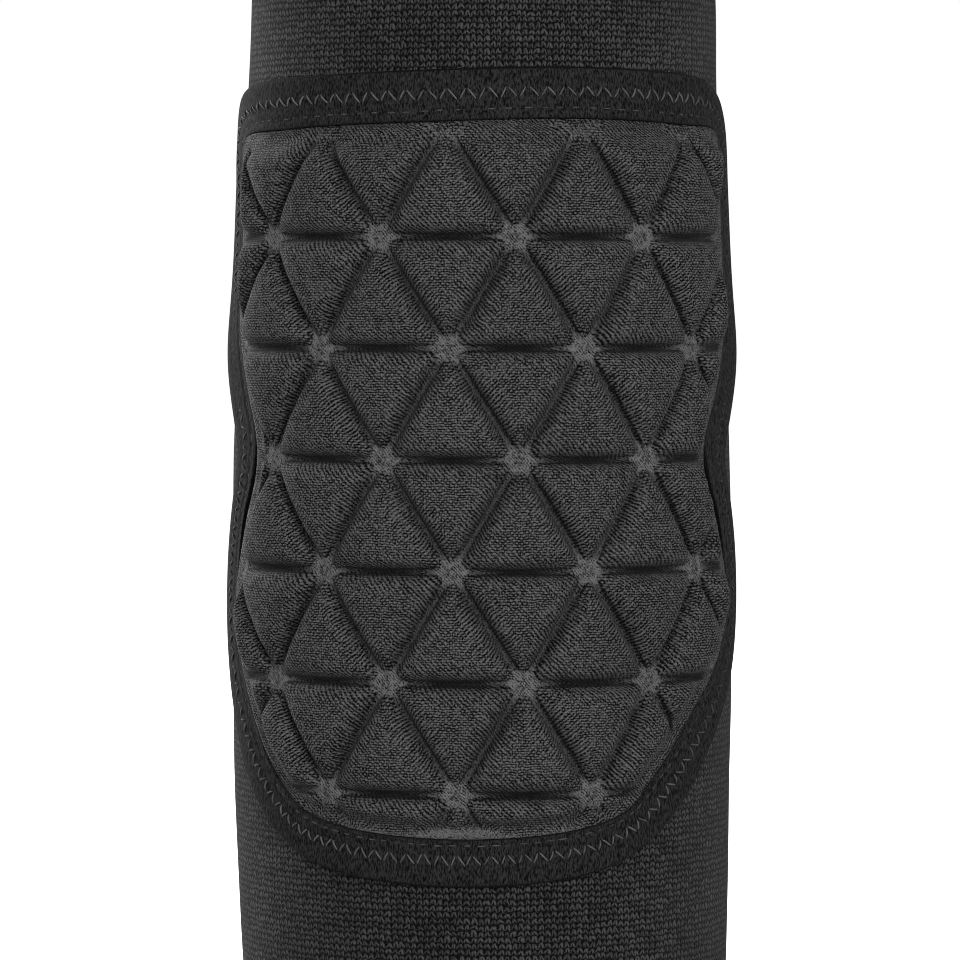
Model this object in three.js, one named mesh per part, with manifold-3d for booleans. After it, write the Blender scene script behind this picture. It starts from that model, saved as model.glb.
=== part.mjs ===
// A padded elbow sleeve: a knitted tube for the arm, a foam pad of triangular cells over the elbow,
// and the sewn-down strip of fabric that borders the pad.
// Millimetres. +Z runs up the arm along the tube's axis, the pad faces -Y, and z = 0 is the pad's waist.

import * as THREE from "three";
import { ParametricGeometry } from "three/addons/geometries/ParametricGeometry.js";
import { mergeVertices } from "three/addons/utils/BufferGeometryUtils.js";
import Module from "manifold-3d";

// Sleeve: half its width at each height of the filled tube, from the bottom end to the top end
const SLEEVE_SECTIONS = [
  { z: -130, halfWidth: 44.6 },
  { z: -98, halfWidth: 46.4 },
  { z: -75, halfWidth: 47.1 },
  { z: -44, halfWidth: 47.9 },
  { z: -5, halfWidth: 47.7 },
  { z: 30, halfWidth: 46.5 },
  { z: 71, halfWidth: 44.8 },
  { z: 87, halfWidth: 44.4 },
  { z: 124, halfWidth: 43.2 },
];
const DEPTH_RATIO = 0.96;
const KNIT_THICKNESS = 1.8;
const WELT_HEIGHT = 12;
const WELT_EXTRA = 0.5;
const SLEEVE_SIDES = 64;
const SLEEVE_LEVELS = 18;

// Pad: its reach round the tube to the left and right of the centre line, at each height
const PAD_OUTLINE = [
  { z: 56.5, left: 55.8, right: 54.4 },
  { z: 45, left: 56.2, right: 56.2 },
  { z: 24, left: 56.8, right: 56.8 },
  { z: 12.5, left: 52.6, right: 52.6 },
  { z: 3.5, left: 48.8, right: 47.8 },
  { z: -3.5, left: 48.8, right: 47.6 },
  { z: -14, left: 53.2, right: 52.6 },
  { z: -28.5, left: 57.6, right: 57 },
  { z: -37, left: 55.6, right: 53.2 },
  { z: -48, left: 50.2, right: 43.8 },
  { z: -59, left: 43, right: 34 },
  { z: -66, left: 34.6, right: 26.2 },
];
// Points of its top edge from left to right, and the lowest point of its foot
const PAD_TOP = [
  { u: -53, z: 59.6 },
  { u: -40, z: 60.7 },
  { u: -8, z: 61.7 },
  { u: 16, z: 62.3 },
  { u: 40, z: 61.7 },
  { u: 51.5, z: 60.9 },
];
const PAD_FOOT = { u: -3, z: -70 };

// Triangular cells of the pad
const CELL_SIDE = 24.3;
const CELL_ROW = 20.5;
const CELL_PHASE = 6.9;
const CELL_LEAN = 0.018;
const CELL_STEPS = 6;
const SHOULDER_INSET = 2;
const CELL_HEIGHT = { groove: 2, node: 2.5, shoulder: 4.8, corner: 4.3, crown: 5.8 };
const BACK_STEPS = 3;

// Rim of the pad, where the border holds the foam down to a share of its height
const RIM_SHARE = 0.38;
const RIM_REACH = 10;
const RIM_POINTS = 96;

// Border strip
const BORDER_WIDTH = 9.4;
const BORDER_THICKNESS = 1.3;
const BORDER_STATIONS = 120;
const BORDER_EASE = 4;

// Clearances between pieces
const SEAT_GAP = 0.45;
const RIM_GAP = 0.4;

// Points closer than this are one vertex
const WELD = 1e-4;

const wasm = await Module();
wasm.setup();

// Value of one column at a height, on a smooth curve through the table's rows
function columnAt(rows, column, z) {
  const last = rows.length - 1;
  const slope = (i) => {
    const low = rows[Math.max(i - 1, 0)];
    const high = rows[Math.min(i + 1, last)];
    return (high[column] - low[column]) / (high.z - low.z);
  };
  let i = 0;
  while (i < last - 1 && z > rows[i + 1].z) i += 1;
  const span = rows[i + 1].z - rows[i].z;
  const t = (z - rows[i].z) / span;
  const fall = (1 - t) * (1 - t);
  const rise = t * t;
  return fall * (1 + 2 * t) * rows[i][column] + rise * (3 - 2 * t) * rows[i + 1][column]
    + span * t * (fall * slope(i) - (1 - t) * t * slope(i + 1));
}

// Point at reach u round the tube from the pad's centre line, at height z, lifted off the tube's face
function onSleeve(u, z, lift, target) {
  const halfWidth = columnAt(SLEEVE_SECTIONS, "halfWidth", z);
  const turn = u / halfWidth;
  target.set(
    (halfWidth + lift) * Math.sin(turn),
    -(halfWidth * DEPTH_RATIO + lift) * Math.cos(turn),
    z,
  );
}

// Move every vertex of a flat (u, z, lift) geometry onto the tube
function wrapOnSleeve(geometry) {
  const position = geometry.getAttribute("position");
  const point = new THREE.Vector3();
  for (let i = 0; i < position.count; i += 1) {
    onSleeve(position.getX(i), position.getY(i), position.getZ(i), point);
    position.setXYZ(i, point.x, point.y, point.z);
  }
  return geometry;
}

// Merge the shared vertices of a closed geometry
function welded(geometry) {
  const bare = geometry.index ? geometry.toNonIndexed() : geometry.clone();
  for (const name of ["normal", "uv"]) bare.deleteAttribute(name);
  return mergeVertices(bare, WELD);
}

function toSolid(geometry) {
  const closed = welded(geometry);
  return new wasm.Manifold(new wasm.Mesh({
    numProp: 3,
    vertProperties: new Float32Array(closed.getAttribute("position").array),
    triVerts: new Uint32Array(closed.index.array),
  }));
}

function toGeometry(solid) {
  const mesh = solid.getMesh();
  const geometry = new THREE.BufferGeometry();
  geometry.setAttribute("position", new THREE.BufferAttribute(mesh.vertProperties, 3));
  geometry.setIndex(new THREE.BufferAttribute(mesh.triVerts, 1));
  return geometry;
}

// Knitted tube

// Wall section as levels up the outer face and back down the inner face
function sleeveWall() {
  const bottom = SLEEVE_SECTIONS[0].z;
  const top = SLEEVE_SECTIONS.at(-1).z;
  const heights = [bottom, bottom + WELT_HEIGHT];
  const inner = SLEEVE_LEVELS - 3;
  for (let i = 1; i < inner; i += 1) {
    heights.push(THREE.MathUtils.lerp(bottom + WELT_HEIGHT, top - WELT_HEIGHT, i / inner));
  }
  heights.push(top - WELT_HEIGHT, top);
  const outer = heights.map((z) => ({ z, inset: 0 }));
  const lining = heights.toReversed().map((z) => {
    const inWelt = z === bottom || z === top;
    return { z, inset: KNIT_THICKNESS + (inWelt ? WELT_EXTRA : 0) };
  });
  return [...outer, ...lining];
}

function knitSleeve() {
  const wall = sleeveWall();
  const surface = (around, along, target) => {
    const { z, inset } = wall[Math.round(along * wall.length) % wall.length];
    const halfWidth = columnAt(SLEEVE_SECTIONS, "halfWidth", z);
    const turn = (Math.round(around * SLEEVE_SIDES) % SLEEVE_SIDES) / SLEEVE_SIDES * 2 * Math.PI;
    target.set(
      (halfWidth - inset) * Math.sin(turn),
      -(halfWidth * DEPTH_RATIO - inset) * Math.cos(turn),
      z,
    );
  };
  return welded(new ParametricGeometry(surface, SLEEVE_SIDES, wall.length));
}

// Foam pad

// Closed outline of the pad in (u, z): across the top, down the right side, and up the left side
function padOutline() {
  const top = PAD_TOP.map(({ u, z }) => new THREE.Vector3(u, z, 0));
  const right = PAD_OUTLINE.map(({ z, right: u }) => new THREE.Vector3(u, z, 0));
  const left = PAD_OUTLINE.map(({ z, left: u }) => new THREE.Vector3(-u, z, 0)).reverse();
  return new THREE.CatmullRomCurve3([
    ...top,
    ...right,
    new THREE.Vector3(PAD_FOOT.u, PAD_FOOT.z, 0),
    ...left,
  ], true, "centripetal");
}

// Evenly spaced points of the outline, pushed out by a distance along its normal
function offsetOutline(count, distance) {
  const outline = padOutline();
  return Array.from({ length: count }, (_, i) => {
    const point = outline.getPointAt(i / count);
    const tangent = outline.getTangentAt(i / count);
    return new THREE.Vector2(point.x - tangent.y * distance, point.y + tangent.x * distance);
  });
}

// Node of the cell lattice
function latticeNode(column, row) {
  const z = row * CELL_ROW;
  const stagger = row % 2 === 0 ? 0 : -CELL_SIDE / 2;
  return new THREE.Vector2(CELL_PHASE + column * CELL_SIDE + stagger - CELL_LEAN * z, z);
}

// Every triangle of the lattice that covers the pad, as corner nodes in anticlockwise order
function latticeCells() {
  const rows = Math.ceil(-PAD_FOOT.z / CELL_ROW);
  const padReach = Math.max(...PAD_OUTLINE.map(({ left, right }) => Math.max(left, right)));
  const columns = Math.ceil(padReach / CELL_SIDE) + 1;
  const cells = [];
  for (let row = -rows; row < rows; row += 1) {
    const above = (column) => (row % 2 === 0 ? column + 1 : column);
    for (let column = -columns; column < columns; column += 1) {
      cells.push([[column, row], [column + 1, row], [above(column), row + 1]]);
      cells.push([[above(column), row + 1], [column + 1, row], [above(column) + 1, row + 1]]);
    }
  }
  return cells.map((cell) => cell.map(([column, row]) => latticeNode(column, row)));
}

// Height of a cell's face, from the steps between a point and the nearest groove
function cellLift(ring, isCorner) {
  if (ring === 0) return isCorner ? CELL_HEIGHT.node : CELL_HEIGHT.groove;
  if (ring === CELL_STEPS / 3) return CELL_HEIGHT.crown;
  return isCorner ? CELL_HEIGHT.corner : CELL_HEIGHT.shoulder;
}

// Point of a cell's raised face: rings of points step in from the grooves to the crown
function cellPoint(corners, i, j) {
  const steps = [i, j, CELL_STEPS - i - j];
  const ring = Math.min(...steps);
  const depth = CELL_ROW / 3;
  const inset = [0, SHOULDER_INSET, depth][ring] / (3 * depth);
  const ringSteps = CELL_STEPS - 3 * ring;
  const share = steps.map((s) => (ringSteps ? inset + (1 - 3 * inset) * (s - ring) / ringSteps : 1 / 3));
  const isCorner = steps.filter((s) => s === ring).length > 1;
  const point = new THREE.Vector3();
  corners.forEach((corner, k) => {
    point.x += share[k] * corner.x;
    point.y += share[k] * corner.y;
  });
  point.z = cellLift(ring, isCorner);
  return point;
}

// Point of a cell's flat back
function backPoint(corners, i, j) {
  const share = [i, j, BACK_STEPS - i - j].map((s) => s / BACK_STEPS);
  const point = new THREE.Vector3(0, 0, SEAT_GAP);
  corners.forEach((corner, k) => {
    point.x += share[k] * corner.x;
    point.y += share[k] * corner.y;
  });
  return point;
}

// Triangles of one cell's face, split into steps along each side
function cellFaces(corners, steps, pointAt) {
  const faces = [];
  for (let i = 0; i < steps; i += 1) {
    for (let j = 0; j < steps - i; j += 1) {
      const point = (di, dj) => pointAt(corners, i + di, j + dj);
      faces.push(point(0, 0), point(1, 0), point(0, 1));
      if (i + j < steps - 1) faces.push(point(1, 0), point(1, 1), point(0, 1));
    }
  }
  return faces;
}

// Sides of the lattice block: each free side of a cell joins its raised face to the back
function blockSides(cells) {
  const sideKey = (from, to) => [from.x, from.y, to.x, to.y].map((v) => v.toFixed(3)).join();
  const sides = new Map();
  for (const corners of cells) {
    corners.forEach((from, k) => sides.set(sideKey(from, corners[(k + 1) % 3]), { corners, k }));
  }
  const stride = CELL_STEPS / BACK_STEPS;
  const faces = [];
  for (const { corners, k } of sides.values()) {
    const from = corners[k];
    const to = corners[(k + 1) % 3];
    if (sides.has(sideKey(to, from))) continue;
    const along = [corners[k], corners[(k + 1) % 3], corners[(k + 2) % 3]];
    const top = (s) => cellPoint(along, CELL_STEPS - s, s);
    const back = (s) => backPoint(along, BACK_STEPS - s, s);
    for (let s = 0; s < BACK_STEPS; s += 1) {
      const start = s * stride;
      faces.push(top(start), back(s), top(start + 1));
      faces.push(top(start + 1), back(s), back(s + 1));
      faces.push(top(start + 1), back(s + 1), top(start + stride));
    }
  }
  return faces;
}

// Block of raised cells, larger than the pad, in flat (u, z, lift)
function cellBlock() {
  const cells = latticeCells();
  const raised = cells.flatMap((corners) => cellFaces(corners, CELL_STEPS, cellPoint));
  const back = cells.flatMap((corners) => cellFaces(corners.toReversed(), BACK_STEPS, backPoint));
  return new THREE.BufferGeometry().setFromPoints([...raised, ...back, ...blockSides(cells)]);
}

// Outline of the pad as a plate thicker than the cells are high
function rimPlate() {
  return new THREE.ExtrudeGeometry(new THREE.Shape(offsetOutline(RIM_POINTS, 0)), {
    depth: 2 * CELL_HEIGHT.crown,
    bevelEnabled: false,
  });
}

// Press the cells down towards the pad's edge
function pressRim(geometry) {
  const edge = offsetOutline(RIM_POINTS, 0);
  const position = geometry.getAttribute("position");
  for (let i = 0; i < position.count; i += 1) {
    const point = new THREE.Vector2(position.getX(i), position.getY(i));
    const distance = Math.min(...edge.map((other) => point.distanceTo(other)));
    const share = THREE.MathUtils.lerp(RIM_SHARE, 1, Math.min(distance / RIM_REACH, 1));
    position.setZ(i, SEAT_GAP + (position.getZ(i) - SEAT_GAP) * share);
  }
  return geometry;
}

function elbowPad() {
  const cells = toSolid(cellBlock()).intersect(toSolid(rimPlate()));
  return wrapOnSleeve(pressRim(toGeometry(cells)));
}

// Border strip

// Closed line with its tight bends eased by a number of passes
function eased(points, passes) {
  let line = points;
  for (let pass = 0; pass < passes; pass += 1) {
    line = line.map((point, i) => {
      const before = line.at(i - 1);
      const after = line[(i + 1) % line.length];
      return before.clone().add(after).lerp(point.clone().multiplyScalar(2), 0.5).multiplyScalar(0.5);
    });
  }
  return line;
}

// Section across the strip: distance from the pad's edge and lift off the sleeve
function borderSection() {
  const inner = RIM_GAP;
  const outer = RIM_GAP + BORDER_WIDTH;
  const middle = (inner + outer) / 2;
  const round = BORDER_THICKNESS / 2;
  const top = SEAT_GAP + BORDER_THICKNESS;
  return [
    { reach: inner, lift: SEAT_GAP },
    { reach: inner, lift: top - round },
    { reach: inner + round, lift: top },
    { reach: middle, lift: top },
    { reach: outer - round, lift: top },
    { reach: outer, lift: top - round },
    { reach: outer, lift: SEAT_GAP },
    { reach: middle, lift: SEAT_GAP },
  ];
}

function padBorder() {
  const section = borderSection();
  const lines = section.map(({ reach }) => {
    const passes = Math.round(BORDER_EASE * reach / BORDER_WIDTH);
    return eased(offsetOutline(BORDER_STATIONS, reach), passes);
  });
  const surface = (along, across, target) => {
    const station = Math.round(along * BORDER_STATIONS) % BORDER_STATIONS;
    const k = Math.round(across * section.length) % section.length;
    const { x, y } = lines[k][station];
    onSleeve(x, y, section[k].lift, target);
  };
  return welded(new ParametricGeometry(surface, BORDER_STATIONS, section.length));
}

// Assembly

function piece(name, geometry, color) {
  const material = new THREE.MeshStandardMaterial({ color, roughness: 0.92, metalness: 0 });
  const mesh = new THREE.Mesh(geometry, material);
  mesh.name = name;
  return mesh;
}

const elbowSleeve = new THREE.Group();
elbowSleeve.add(
  piece("knit_sleeve", knitSleeve(), 0x2a2a2b),
  piece("elbow_pad", elbowPad(), 0x3a3a3c),
  piece("pad_border", padBorder(), 0x232324),
);

export default elbowSleeve;
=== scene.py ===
# %% [markdown]
# # A padded elbow sleeve
# The sleeve is a knitted tube for the arm. A foam pad under a jersey cover lies over the elbow, moulded
# into triangular cells, and a soft strip of fabric is sewn down around the pad with two rows of stitches.
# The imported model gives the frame: the solids are at their real size, and each of them is replaced here by
# a finer mesh in the same place. Sizes are written in millimetres and turned into metres when a mesh is
# made.

# %% Load the frame
import math

import bpy
import numpy as np
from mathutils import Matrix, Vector


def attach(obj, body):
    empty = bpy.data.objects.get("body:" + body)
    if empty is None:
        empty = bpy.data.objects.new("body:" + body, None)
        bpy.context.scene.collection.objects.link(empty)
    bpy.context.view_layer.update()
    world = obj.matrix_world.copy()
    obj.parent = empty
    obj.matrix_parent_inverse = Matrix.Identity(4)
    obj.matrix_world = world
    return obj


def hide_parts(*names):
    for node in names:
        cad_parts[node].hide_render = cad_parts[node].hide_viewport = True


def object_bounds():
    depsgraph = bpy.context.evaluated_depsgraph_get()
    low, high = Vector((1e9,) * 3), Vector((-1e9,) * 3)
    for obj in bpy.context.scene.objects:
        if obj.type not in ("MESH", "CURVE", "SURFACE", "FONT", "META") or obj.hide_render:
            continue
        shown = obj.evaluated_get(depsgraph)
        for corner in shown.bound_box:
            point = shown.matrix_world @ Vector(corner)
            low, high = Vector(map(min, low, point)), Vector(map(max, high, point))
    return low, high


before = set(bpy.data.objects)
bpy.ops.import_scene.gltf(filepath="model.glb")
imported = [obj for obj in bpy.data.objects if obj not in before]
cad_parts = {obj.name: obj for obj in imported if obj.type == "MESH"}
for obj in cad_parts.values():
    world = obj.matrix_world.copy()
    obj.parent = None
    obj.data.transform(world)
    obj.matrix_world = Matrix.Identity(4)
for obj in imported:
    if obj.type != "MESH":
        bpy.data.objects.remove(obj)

cad_low, cad_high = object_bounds()
MM = 0.001
BODY = "root"
print("solids:", sorted(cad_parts), "height:", round(cad_high.z - cad_low.z, 4))

# %% [markdown]
# ## The camera
# The photograph looks almost level at the front of the pad, from far enough away that the tube's edges look
# nearly straight. A camera one metre off with a narrow angle gives that view. The angle comes from how many
# millimetres the picture spans at the tube's axis, which is easier to measure than a lens.

# %% Camera
CAMERA_DISTANCE = 1.0
CAMERA_ELEVATION = math.radians(2)
CAMERA_TARGET = Vector((-0.0004, 0, -0.00555))
PICTURE_SPAN = 0.1846

camera_data = bpy.data.cameras.new("front_camera")
camera_data.angle = 2 * math.atan(PICTURE_SPAN / 2 / CAMERA_DISTANCE)
camera = bpy.data.objects.new("front_camera", camera_data)
bpy.context.scene.collection.objects.link(camera)
away = Vector((0, -math.cos(CAMERA_ELEVATION), math.sin(CAMERA_ELEVATION)))
camera.location = CAMERA_TARGET + CAMERA_DISTANCE * away
camera.rotation_euler = (-away).to_track_quat("-Z", "Y").to_euler()
bpy.context.scene.camera = camera
print("camera angle in degrees:", round(math.degrees(camera_data.angle), 2))

# %% [markdown]
# ## Writing shaders as sums
# A fabric's pattern is arithmetic on a position: cosines for the yarns, noise for their unevenness. Written
# as Python expressions it stays readable, so one small class wraps a socket and its operators add Math
# nodes. Every other node comes from one method, which takes the node's type, its settings and its inputs.

# %% Shader helper
class Value:
    """A socket's value on a surface. Arithmetic on it adds Math nodes."""

    def __init__(self, finish, socket):
        self.finish = finish
        self.socket = socket

    def output(self, name):
        return Value(self.finish, self.socket.node.outputs[name])

    def math(self, operation, *others):
        return self.finish.node("Math", {"operation": operation}, dict(enumerate((self, *others))))

    def flipped(self, operation, other):
        return self.finish.node("Math", {"operation": operation}, {0: other, 1: self})

    def __add__(self, other):
        return self.math("ADD", other)

    def __radd__(self, other):
        return self.flipped("ADD", other)

    def __sub__(self, other):
        return self.math("SUBTRACT", other)

    def __rsub__(self, other):
        return self.flipped("SUBTRACT", other)

    def __mul__(self, other):
        return self.math("MULTIPLY", other)

    def __rmul__(self, other):
        return self.flipped("MULTIPLY", other)

    def step(self, low, high, to_low=0.0, to_high=1.0):
        limits = {"Value": self, "From Min": low, "From Max": high, "To Min": to_low, "To Max": to_high}
        return self.finish.node("MapRange", {"interpolation_type": "SMOOTHSTEP"}, limits)


class Finish:
    """The nodes of one material, or of the world."""

    def __init__(self, owner):
        self.owner = owner
        owner.use_nodes = True
        self.tree = owner.node_tree
        self.tree.nodes.clear()

    def node(self, kind, settings=None, inputs=None, output=0):
        node = self.tree.nodes.new("ShaderNode" + kind)
        for name, setting in (settings or {}).items():
            setattr(node, name, setting)
        for key, value in (inputs or {}).items():
            if isinstance(value, Value):
                self.tree.links.new(value.socket, node.inputs[key])
            else:
                node.inputs[key].default_value = value
        return Value(self, node.outputs[output]) if node.outputs else None

    def noise(self, vector, scale, detail=2.0, dimensions="3D"):
        settings = {"noise_dimensions": dimensions}
        return self.node("TexNoise", settings, {"Vector": vector, "Scale": scale, "Detail": detail})

    def mix(self, share, first, second):
        return self.node("Mix", {"data_type": "RGBA"}, {0: share, 6: first, 7: second}, output=2)

    def bump(self, height, distance, strength):
        return self.node("Bump", {}, {"Height": height, "Distance": distance, "Strength": strength})

    def surface(self, **inputs):
        shader = self.node("BsdfPrincipled", {}, {key.replace("_", " "): v for key, v in inputs.items()})
        self.node("OutputMaterial", {}, {"Surface": shader})
        print(self.owner.name, "has", len(self.tree.nodes), "nodes")
        return self.owner


BLUE_TINT = 1.01


def grey(level):
    return (level, level, level * BLUE_TINT, 1)


print("shader helper ready")

# %% [markdown]
# ## Meshes from arrays
# All the pieces are grids or lattices bent into shape, so they are worked out with numpy and handed to
# Blender at once. That is quick, exact and the same on every run. A grid may close on itself round the tube
# or round a section. On the tube and the pad, each corner of a face also keeps its place in the fabric, as
# a UV map, so that the knit follows the cloth.

# %% Mesh helper
def smoothstep(low, high, x):
    t = np.clip((x - low) / (high - low), 0, 1)
    return t * t * (3 - 2 * t)


def grid_faces(rows, columns, close_rows=False, close_columns=False):
    """Quads of a grid of points, and the row and column of each corner before it closes."""
    r, c = np.meshgrid(
        np.arange(rows if close_rows else rows - 1),
        np.arange(columns if close_columns else columns - 1),
        indexing="ij",
    )
    corner_row = np.stack([r, r, r + 1, r + 1], axis=-1).reshape(-1, 4)
    corner_column = np.stack([c, c + 1, c + 1, c], axis=-1).reshape(-1, 4)
    faces = (corner_row % rows) * columns + corner_column % columns
    return faces, corner_row, corner_column


def make_piece(name, points, faces, material, weave=None, fields=None):
    """A smooth mesh object from points in millimetres, riding on the body."""
    mesh = bpy.data.meshes.new(name)
    mesh.from_pydata((points * MM).tolist(), [], faces)
    mesh.polygons.foreach_set("use_smooth", np.ones(len(mesh.polygons), dtype=bool))
    if weave is not None:
        layer = mesh.uv_layers.new(name="weave")
        layer.data.foreach_set("uv", weave.astype(np.float32).ravel())
    for field, values in (fields or {}).items():
        attribute = mesh.attributes.new(field, "FLOAT", "POINT")
        attribute.data.foreach_set("value", values.astype(np.float32))
    mesh.materials.append(material)
    mesh.update()
    piece = bpy.data.objects.new(name, mesh)
    bpy.context.scene.collection.objects.link(piece)
    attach(piece, BODY)
    triangles = sum(len(face) - 2 for face in faces)
    print(name, "has", triangles, "triangles")
    return piece


# %% [markdown]
# ## The knitted tube
# The arm fills the tube, so its section is nearly round and it is widest just below the elbow. A smooth
# curve through a few half widths gives the outline, and both ends drift a little sideways. The wall is one
# closed skin: up the outside, over a rounded hem, down the inside and round the lower hem. A place on the
# tube is given by its reach u round from the pad's centre line, its height z, and its lift off the knit, so
# that the other pieces can be laid on it.

# %% Tube surface
SLEEVE_SECTIONS = np.array(
    [
        (-130, 44.6, 0.7), (-98, 46.5, 0.5), (-75, 47.3, 0.1), (-44, 47.9, 0), (-5, 47.7, 0),
        (30, 46.5, 0), (71, 44.8, 0.1), (87, 44.4, 0.3), (124, 43.2, 0.25),
    ],
    dtype=[("z", float), ("half_width", float), ("drift", float)],
)
DEPTH_RATIO = 0.96


def through_rows(rows, column, at):
    """Value of a column at a height, on a smooth curve through the table's rows."""
    z = rows["z"]
    value = rows[column]
    last = len(rows) - 1
    below = np.maximum(np.arange(last + 1) - 1, 0)
    above = np.minimum(np.arange(last + 1) + 1, last)
    slope = (value[above] - value[below]) / (z[above] - z[below])
    i = np.clip(np.searchsorted(z, at) - 1, 0, last - 1)
    span = z[i + 1] - z[i]
    t = (at - z[i]) / span
    fall = (1 - t) ** 2
    rise = t ** 2
    return (
        fall * (1 + 2 * t) * value[i] + rise * (3 - 2 * t) * value[i + 1]
        + span * t * (fall * slope[i] - (1 - t) * t * slope[i + 1])
    )


def on_sleeve(u, z, lift):
    half_width = through_rows(SLEEVE_SECTIONS, "half_width", z)
    turn = u / half_width
    x = (half_width + lift) * np.sin(turn) + through_rows(SLEEVE_SECTIONS, "drift", z)
    y = -(half_width * DEPTH_RATIO + lift) * np.cos(turn)
    return np.stack([x, y, z + 0 * turn], axis=-1)


tube_heights = np.linspace(SLEEVE_SECTIONS["z"][0], SLEEVE_SECTIONS["z"][-1], 255)
widest = through_rows(SLEEVE_SECTIONS, "half_width", tube_heights).max()
print("tube is", round(2 * widest, 1), "mm wide at most")

# %% [markdown]
# ## The knit's finish
# The photograph shows a plain coarse knit: rows of stitches about 1.2 mm wide, each with two slanted legs
# and black holes between them, and rather uneven. Modelling fifty thousand stitches would be far too heavy,
# so the legs are drawn in the material, in stitch units of the tube's own map, and raised by bump.

# %% Knit finish
KNIT_DARK = 0.0025
KNIT_LIGHT = 0.09
KNIT_SWAY = 1.1
LEG_FOOT = 0.14
LEG_LEAN = 0.3
LEG_EDGE = 0.04
LEFT_LEG_WIDTH = 0.27
RIGHT_LEG_WIDTH = 0.29
LEFT_LEG_SHARE = 0.75
BOW_SHARE = 0.8


def knit_finish():
    knit = Finish(bpy.data.materials.new("rib_knit"))
    stitches = knit.node("UVMap", {"uv_map": "weave"})
    place = knit.node("SeparateXYZ", {}, {"Vector": stitches})
    sway = knit.noise(stitches, scale=0.55, detail=3.0, dimensions="2D")
    shift = knit.node("SeparateXYZ", {}, {"Vector": sway.output("Color")})
    across = place + KNIT_SWAY * (shift - 0.5)
    along = place.output("Y") + KNIT_SWAY * (shift.output("Y") - 0.5)
    x = across.math("FRACT")
    y = along.math("FRACT")
    wale = across.math("FLOOR")
    course = along.math("FLOOR")
    number = knit.node("CombineXYZ", {}, {"X": wale, "Y": course})
    chance = knit.node("TexWhiteNoise", {"noise_dimensions": "2D"}, {"Vector": number})
    lean = LEG_LEAN * y
    left_leg = (x - (LEG_FOOT + lean)).math("ABSOLUTE").step(LEFT_LEG_WIDTH, LEG_EDGE)
    right_leg = (x - ((1 - LEG_FOOT) - lean)).math("ABSOLUTE").step(RIGHT_LEG_WIDTH, LEG_EDGE)
    bow = (math.pi * y).math("SINE")
    legs = (LEFT_LEG_SHARE * left_leg).math("MAXIMUM", right_leg) * ((1 - BOW_SHARE) + BOW_SHARE * bow)
    fibre = knit.noise(stitches, scale=6.0, detail=2.0, dimensions="2D")
    cloud = knit.noise(stitches, scale=0.06, detail=2.0, dimensions="2D")
    yarn = legs * (0.6 + 0.5 * chance) + 0.9 * (fibre - 0.5)
    tone = yarn.step(-0.05, 1.02) * (0.6 + 0.8 * cloud)
    return knit.surface(
        Base_Color=knit.mix(tone, grey(KNIT_DARK), grey(KNIT_LIGHT)),
        Roughness=0.95,
        Specular_IOR_Level=0.04,
        Sheen_Weight=0.06,
        Sheen_Roughness=0.4,
        Normal=knit.bump(yarn, distance=0.0003, strength=0.7),
    )


rib_knit = knit_finish()

# %% [markdown]
# ## Making the tube
# The hem is a little thicker than the wall, as a turned welt is. The ends lie outside the photograph, so
# they are finished plainly. The map counts stitches: whole wales round the tube, so that the pattern closes
# at the back, and courses along the wall.

# %% Tube mesh
KNIT_THICKNESS = 1.8
WELT_HEIGHT = 12
WELT_EXTRA = 0.5
WELT_FADE = 0.8
TUBE_COLUMNS = 420
OUTER_ROWS = 150
INNER_ROWS = 40
HEM_ROWS = 7
WALES = 236
COURSE_PITCH = 1.16
WAVE_DEPTH = 0.1


def tube_section():
    """Heights and insets up the outside, over the hem, down the inside and round the lower hem."""
    bottom = SLEEVE_SECTIONS["z"][0]
    top = SLEEVE_SECTIONS["z"][-1]
    hem = (KNIT_THICKNESS + WELT_EXTRA) / 2
    swing = np.linspace(0, math.pi, HEM_ROWS + 2)[1:-1]
    inside = np.linspace(top - hem, bottom + hem, INNER_ROWS)
    from_end = np.minimum(inside - bottom, top - inside)
    welt = WELT_EXTRA * (1 - smoothstep(WELT_FADE * WELT_HEIGHT, WELT_HEIGHT, from_end))
    z = np.concatenate([
        np.linspace(bottom + hem, top - hem, OUTER_ROWS),
        top - hem + hem * np.sin(swing),
        inside,
        bottom + hem - hem * np.sin(swing),
    ])
    inset = np.concatenate([
        np.zeros(OUTER_ROWS),
        hem - hem * np.cos(swing),
        KNIT_THICKNESS + welt,
        hem + hem * np.cos(swing),
    ])
    return z, inset


def tube():
    z, inset = tube_section()
    turn = np.linspace(-math.pi, math.pi, TUBE_COLUMNS + 1)[:-1]
    half_width = through_rows(SLEEVE_SECTIONS, "half_width", z)
    height = z[:, None]
    waves = WAVE_DEPTH * np.sin(5 * turn + 0.11 * height) * np.cos(0.09 * height - 2 * turn)
    points = on_sleeve(turn * half_width[:, None], height, waves - inset[:, None])
    faces, corner_row, corner_column = grid_faces(len(z), TUBE_COLUMNS, True, True)
    stride = np.hypot(np.diff(z, append=z[0]), np.diff(inset, append=inset[0]))
    course = np.concatenate([[0], np.cumsum(stride)]) / COURSE_PITCH
    weave = np.stack([corner_column * WALES / TUBE_COLUMNS, course[corner_row]], axis=-1)
    return make_piece("sleeve_knit", points.reshape(-1, 3), faces.tolist(), rib_knit, weave)


sleeve = tube()
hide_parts("knit_sleeve")

# %% [markdown]
# ## The pad's outline
# Laid flat, the pad is wide at the top, has a waist at the elbow's crease, and tapers to a rounded foot. It
# is drawn as one closed curve through a few points on each side. A centripetal curve passes through its
# points without loops or overshoot, however unevenly they are spaced.

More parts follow.
